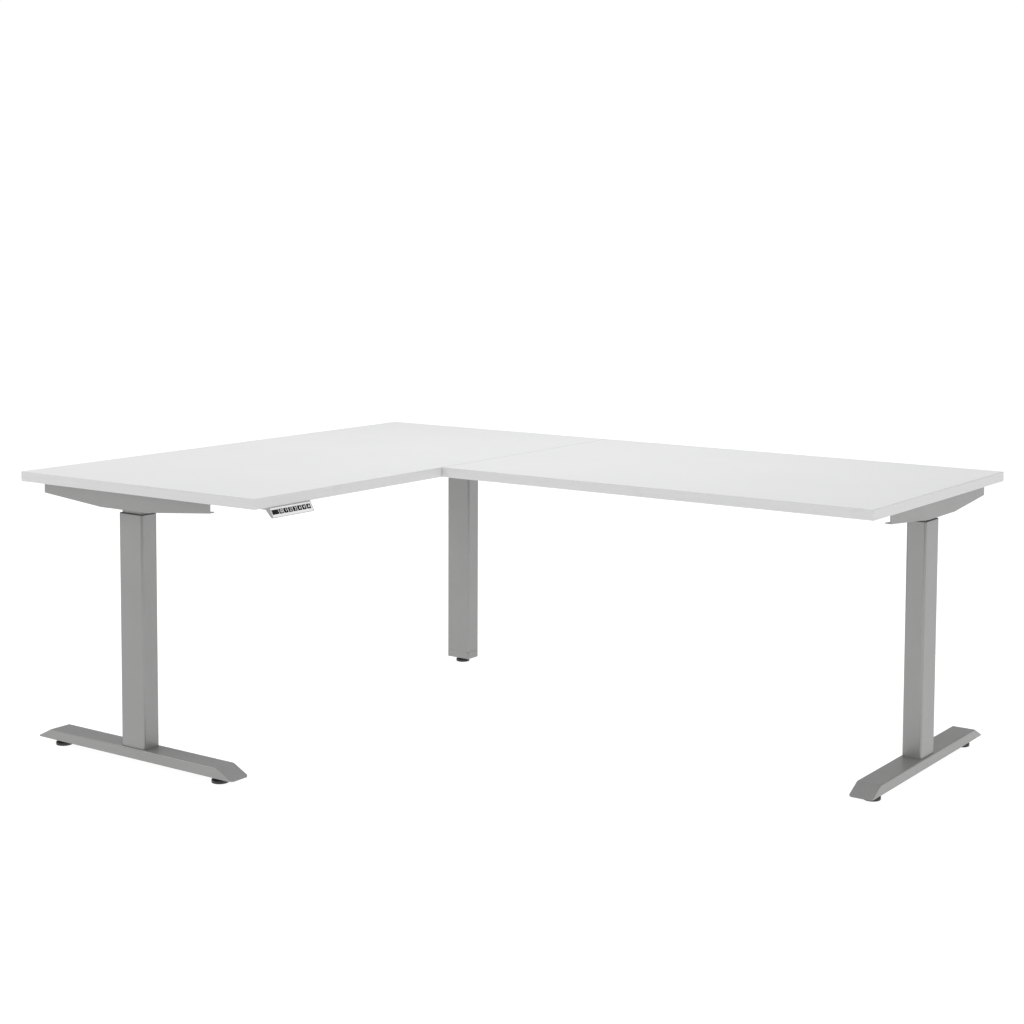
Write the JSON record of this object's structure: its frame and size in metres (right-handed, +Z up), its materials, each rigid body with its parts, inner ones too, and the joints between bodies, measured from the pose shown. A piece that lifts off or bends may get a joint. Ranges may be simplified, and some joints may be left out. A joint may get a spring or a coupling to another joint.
{
  "type": "height adjustable standing desk",
  "caption": "L-shaped electric sit-stand desk with two T-legs, a corner leg, lifting columns and a push-button handset under the edge.",
  "frame": {"origin": "on the floor, at the centre of the desk's bounding box", "axes": "+X along the right wing to its end, +Y to the back edge, +Z up"},
  "size_m": [2, 1.5, 0.7],
  "materials": {
    "white_board": "white melamine on chipboard, fine satin texture",
    "edging": "white ABS edging, satin",
    "silver_coat": "silver-grey powder coat, satin",
    "zinc_steel": "zinc plated",
    "nut_brass": "machined",
    "guide_plastic": "dark grey acetal",
    "glide_plastic": "black moulded plastic",
    "cast_housing": "die cast",
    "motor_coat": "black paint",
    "box_plastic": "black moulded plastic, fine texture",
    "cable_sheath": "black sheath",
    "handset_plastic": "light silver moulded plastic",
    "display_window": "smoked window",
    "button_plastic": "black keys"
  },
  "bodies": {
    "right_base": {"right_foot": "silver_coat", "right_outer_tube": "silver_coat", "right_guide_collar": "guide_plastic", "right_nut_tube": "zinc_steel", "right_spindle_nut": "nut_brass", "right_foot_bolts": "zinc_steel"},
    "left_base": {"left_foot": "silver_coat", "left_outer_tube": "silver_coat", "left_guide_collar": "guide_plastic", "left_nut_tube": "zinc_steel", "left_spindle_nut": "nut_brass", "left_foot_bolts": "zinc_steel"},
    "corner_base": {"corner_outer_tube": "silver_coat", "corner_end_cap": "silver_coat", "corner_guide_collar": "guide_plastic", "corner_nut_tube": "zinc_steel", "corner_spindle_nut": "nut_brass"},
    "left_spindle_body": {"left_spindle": "zinc_steel"},
    "right_spindle_body": {"right_spindle": "zinc_steel"},
    "corner_spindle_body": {"corner_spindle": "zinc_steel"},
    "left_front_glide_body": {"left_front_glide": "glide_plastic"},
    "left_rear_glide_body": {"left_rear_glide": "glide_plastic"},
    "right_front_glide_body": {"right_front_glide": "glide_plastic"},
    "right_rear_glide_body": {"right_rear_glide": "glide_plastic"},
    "corner_glide_body": {"corner_glide": "glide_plastic"},
    "memory_button_body": {"memory_button": "button_plastic"},
    "preset_1_button_body": {"preset_1_button": "button_plastic"},
    "preset_2_button_body": {"preset_2_button": "button_plastic"},
    "preset_3_button_body": {"preset_3_button": "button_plastic"},
    "preset_4_button_body": {"preset_4_button": "button_plastic"},
    "down_button_body": {"down_button": "button_plastic"},
    "up_button_body": {"up_button": "button_plastic"},
    "desktop": {"cable_clips": "box_plastic", "control_box": "box_plastic", "corner_bracket": "silver_coat", "corner_inner_tube": "silver_coat", "corner_motor_cable": "cable_sheath", "frame_bolts": "zinc_steel", "handset_cable": "cable_sheath", "handset_case": "handset_plastic", "handset_display": "display_window", "inner_tube_bushes": "guide_plastic", "left_frame_rails": "silver_coat", "left_inner_tube": "silver_coat", "left_motor_cable": "cable_sheath", "left_side_bracket": "silver_coat", "left_top_board": "white_board", "lift_motors": "motor_coat", "mains_inlet": "box_plastic", "motor_gearboxes": "cast_housing", "rail_joint_brackets": "silver_coat", "right_frame_rails": "silver_coat", "right_inner_tube": "silver_coat", "right_motor_cable": "cable_sheath", "right_side_bracket": "silver_coat", "right_top_board": "white_board", "seam_plates": "zinc_steel", "top_edging": "edging", "top_screws": "zinc_steel"}
  },
  "joints": [
    {"name": "lift", "type": "slide", "parent": "right_base", "child": "desktop", "axis": [0, 0, 1], "range_m": [0, 0.48]},
    {"name": "left_lift", "type": "slide", "parent": "desktop", "child": "left_base", "axis": [0, 0, -1], "range_m": [0, 0.48]},
    {"name": "corner_lift", "type": "slide", "parent": "desktop", "child": "corner_base", "axis": [0, 0, -1], "range_m": [0, 0.48]},
    {"name": "left_spindle_turn", "type": "hinge", "parent": "desktop", "child": "left_spindle_body", "pos_m": [-0.64, -0.693, 0.65], "axis": [0, 0, 1], "range_deg": [0, 10801]},
    {"name": "right_spindle_turn", "type": "hinge", "parent": "desktop", "child": "right_spindle_body", "pos_m": [0.943, 0.364, 0.65], "axis": [0, 0, 1], "range_deg": [0, 10801]},
    {"name": "corner_spindle_turn", "type": "hinge", "parent": "desktop", "child": "corner_spindle_body", "pos_m": [-0.64, 0.632, 0.65], "axis": [0, 0, 1], "range_deg": [0, 10801]},
    {"name": "left_front_glide_screw", "type": "slide", "parent": "left_base", "child": "left_front_glide_body", "axis": [0, 0, -1], "range_m": [0, 0.01]},
    {"name": "left_rear_glide_screw", "type": "slide", "parent": "left_base", "child": "left_rear_glide_body", "axis": [0, 0, -1], "range_m": [0, 0.01]},
    {"name": "right_front_glide_screw", "type": "slide", "parent": "right_base", "child": "right_front_glide_body", "axis": [0, 0, -1], "range_m": [0, 0.01]},
    {"name": "right_rear_glide_screw", "type": "slide", "parent": "right_base", "child": "right_rear_glide_body", "axis": [0, 0, -1], "range_m": [0, 0.01]},
    {"name": "corner_glide_screw", "type": "slide", "parent": "corner_base", "child": "corner_glide_body", "axis": [0, 0, -1], "range_m": [0, 0.01]},
    {"name": "memory_button_press", "type": "slide", "parent": "desktop", "child": "memory_button_body", "axis": [-0.8799, 0, -0.4751], "range_m": [0, 0.0008], "stiffness_N_per_m": 1500, "springref_m": -0.0006},
    {"name": "preset_1_button_press", "type": "slide", "parent": "desktop", "child": "preset_1_button_body", "axis": [-0.8799, 0, -0.4751], "range_m": [0, 0.0008], "stiffness_N_per_m": 1500, "springref_m": -0.0006},
    {"name": "preset_2_button_press", "type": "slide", "parent": "desktop", "child": "preset_2_button_body", "axis": [-0.8799, 0, -0.4751], "range_m": [0, 0.0008], "stiffness_N_per_m": 1500, "springref_m": -0.0006},
    {"name": "preset_3_button_press", "type": "slide", "parent": "desktop", "child": "preset_3_button_body", "axis": [-0.8799, 0, -0.4751], "range_m": [0, 0.0008], "stiffness_N_per_m": 1500, "springref_m": -0.0006},
    {"name": "preset_4_button_press", "type": "slide", "parent": "desktop", "child": "preset_4_button_body", "axis": [-0.8799, 0, -0.4751], "range_m": [0, 0.0008], "stiffness_N_per_m": 1500, "springref_m": -0.0006},
    {"name": "down_button_press", "type": "slide", "parent": "desktop", "child": "down_button_body", "axis": [-0.8799, 0, -0.4751], "range_m": [0, 0.0008], "stiffness_N_per_m": 1500, "springref_m": -0.0006},
    {"name": "up_button_press", "type": "slide", "parent": "desktop", "child": "up_button_body", "axis": [-0.8799, 0, -0.4751], "range_m": [0, 0.0008], "stiffness_N_per_m": 1500, "springref_m": -0.0006}
  ],
  "couplings": [
    {"joint": "left_lift", "follows": "lift", "ratio": 1},
    {"joint": "corner_lift", "follows": "lift", "ratio": 1},
    {"joint": "left_spindle_turn", "follows": "lift", "rad_per_m": 392.7},
    {"joint": "right_spindle_turn", "follows": "lift", "rad_per_m": 392.7},
    {"joint": "corner_spindle_turn", "follows": "lift", "rad_per_m": 392.7}
  ]
}
